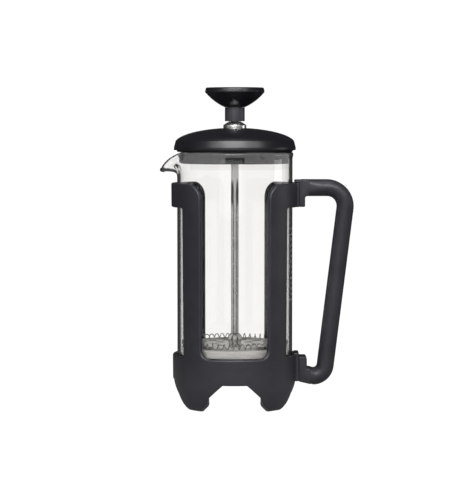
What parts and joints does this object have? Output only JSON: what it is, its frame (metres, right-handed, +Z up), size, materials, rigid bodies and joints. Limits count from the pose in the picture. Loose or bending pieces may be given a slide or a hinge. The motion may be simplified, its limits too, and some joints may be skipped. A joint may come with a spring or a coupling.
{
  "type": "french press",
  "caption": "Glass coffee press in a black moulded frame with a side handle, a domed lid and a plunger with a spring-edged filter.",
  "frame": {"origin": "on the beaker's axis, on the plane that the feet stand on", "axes": "+Z up, the handle towards +X, the spout towards -X"},
  "size_m": [0.121, 0.0778, 0.1992],
  "materials": {
    "frame_black": "satin moulded",
    "lid_black": "satin gloss moulded",
    "skirt_grey": "satin moulded",
    "glass": "clear, fire polished",
    "chrome": "polished",
    "steel": "drawn",
    "gauze": "woven wire",
    "brass": "turned",
    "washer_black": "smooth"
  },
  "bodies": {
    "frame": {"frame": "frame_black", "handle": "frame_black", "handle_screws": "steel"},
    "beaker": {"beaker": "glass"},
    "lid_bush": {"lid_bush": "chrome", "bush_washer": "steel", "bush_nut": "steel"},
    "lid": {"lid_cap": "lid_black", "lid_skirt": "skirt_grey"},
    "plunger": {"plunger_rod": "chrome", "knob": "lid_black", "knob_collar": "lid_black", "knob_insert": "brass", "stop_washer": "washer_black", "filter_hub": "chrome", "spiral_plate": "steel", "edge_spring": "steel", "filter_mesh": "gauze", "strainer_plate": "steel", "filter_nut": "steel"}
  },
  "joints": [
    {"name": "beaker_lift", "type": "slide", "parent": "frame", "child": "beaker", "axis": [0, 0, 1], "range_m": [0, 0.122]},
    {"name": "lid_lift", "type": "slide", "parent": "beaker", "child": "lid_bush", "axis": [0, 0, 1], "range_m": [0, 0.135]},
    {"name": "lid_turn", "type": "hinge", "parent": "lid_bush", "child": "lid", "pos_m": [0, 0, 0.16], "axis": [0, 0, 1], "continuous": true},
    {"name": "plunger_stroke", "type": "slide", "parent": "lid_bush", "child": "plunger", "axis": [0, 0, 1], "range_m": [0, 0.108]}
  ]
}
